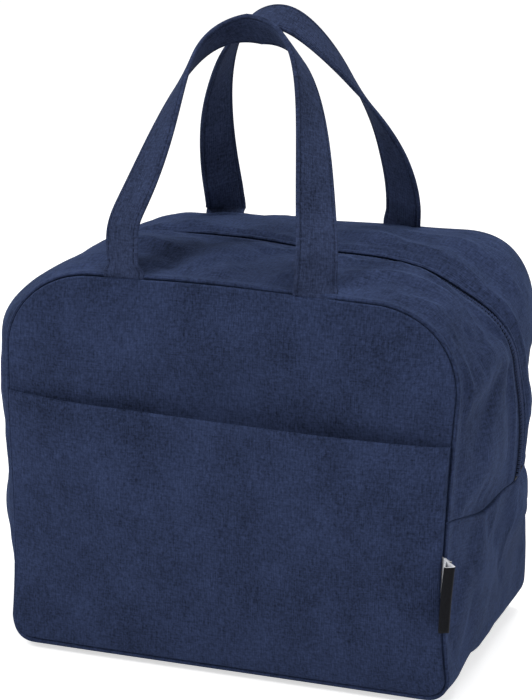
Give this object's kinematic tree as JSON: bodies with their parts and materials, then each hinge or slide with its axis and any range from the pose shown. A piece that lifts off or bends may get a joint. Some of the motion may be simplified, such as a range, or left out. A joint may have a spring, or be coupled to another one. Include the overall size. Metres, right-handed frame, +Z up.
{
  "type": "insulated cooler bag",
  "caption": "Box-shaped insulated lunch bag with rounded top corners, a zipped top that opens front and back, two strap handles and a full-width front pocket.",
  "frame": {"origin": "centre of the face the bag rests on, level with the floor", "axes": "+Z up, +X across the front towards the side with the tag, -Y out of the front pocket, +Y out of the back"},
  "size_m": [0.3043, 0.1829, 0.382],
  "materials": {
    "canvas": "heathered cotton twill",
    "strap": "folded twill, stitched along both edges",
    "foam": "closed-cell foam",
    "liner": "silvered wipe-clean film",
    "binding": "woven tape",
    "zip_tape": "knitted tape",
    "zip_teeth": "nylon coil",
    "zip_metal": "black enamel",
    "tag_ribbon": "satin ribbon, white inside"
  },
  "bodies": {
    "base": {"front_panel_lower": "canvas", "back_panel_lower": "canvas", "base_gusset": "canvas", "pocket_lower": "canvas", "front_foam_lower": "foam", "back_foam_lower": "foam", "base_gusset_foam": "foam", "front_liner_lower": "liner", "back_liner_lower": "liner", "base_gusset_liner": "liner", "front_binding_lower": "binding", "back_binding_lower": "binding", "zip_stops": "zip_metal"},
    "front_half": {"front_panel_upper": "canvas", "zip_gusset_front": "canvas", "pocket_upper": "canvas", "front_foam_upper": "foam", "zip_gusset_foam_front": "foam", "front_liner_upper": "liner", "zip_gusset_liner_front": "liner", "front_binding_upper": "binding", "zip_tape_front": "zip_tape", "zip_teeth_front": "zip_teeth"},
    "back_half": {"back_panel_upper": "canvas", "zip_gusset_back": "canvas", "back_foam_upper": "foam", "zip_gusset_foam_back": "foam", "back_liner_upper": "liner", "zip_gusset_liner_back": "liner", "back_binding_upper": "binding", "zip_tape_back": "zip_tape", "zip_teeth_back": "zip_teeth"},
    "front_handle": {"front_handle": "strap"},
    "back_handle": {"back_handle": "strap"},
    "slider": {"slider_body": "zip_metal"},
    "pull": {"pull_tab": "zip_metal"},
    "tag": {"side_tag": "tag_ribbon"}
  },
  "joints": [
    {"name": "front_half_open", "type": "hinge", "parent": "base", "child": "front_half", "pos_m": [0, -0.0935, 0.11], "axis": [1, 0, 0], "range_deg": [0, 24], "deforming": ["zip_teeth_front"]},
    {"name": "back_half_open", "type": "hinge", "parent": "base", "child": "back_half", "pos_m": [0, 0.0835, 0.11], "axis": [-1, 0, 0], "range_deg": [0, 24], "deforming": ["zip_teeth_back"]},
    {"name": "front_handle_swing", "type": "hinge", "parent": "front_half", "child": "front_handle", "pos_m": [0, -0.0848, 0.2345], "axis": [1, 0, 0], "range_deg": [0, 188]},
    {"name": "back_handle_swing", "type": "hinge", "parent": "back_half", "child": "back_handle", "pos_m": [0, 0.0848, 0.2345], "axis": [-1, 0, 0], "range_deg": [0, 188]},
    {"name": "slider_slide", "type": "slide", "parent": "base", "child": "slider", "axis": [0, 0, 1], "range_m": [0, 0.054]},
    {"name": "pull_swing", "type": "hinge", "parent": "slider", "child": "pull", "pos_m": [-0.1523, 0, 0.12154], "axis": [0, 1, 0], "range_deg": [0, 170]},
    {"name": "tag_swing", "type": "hinge", "parent": "base", "child": "tag", "pos_m": [0.1364, -0.0835, 0.063], "axis": [0, 0, 1], "range_deg": [-25, 25]}
  ]
}
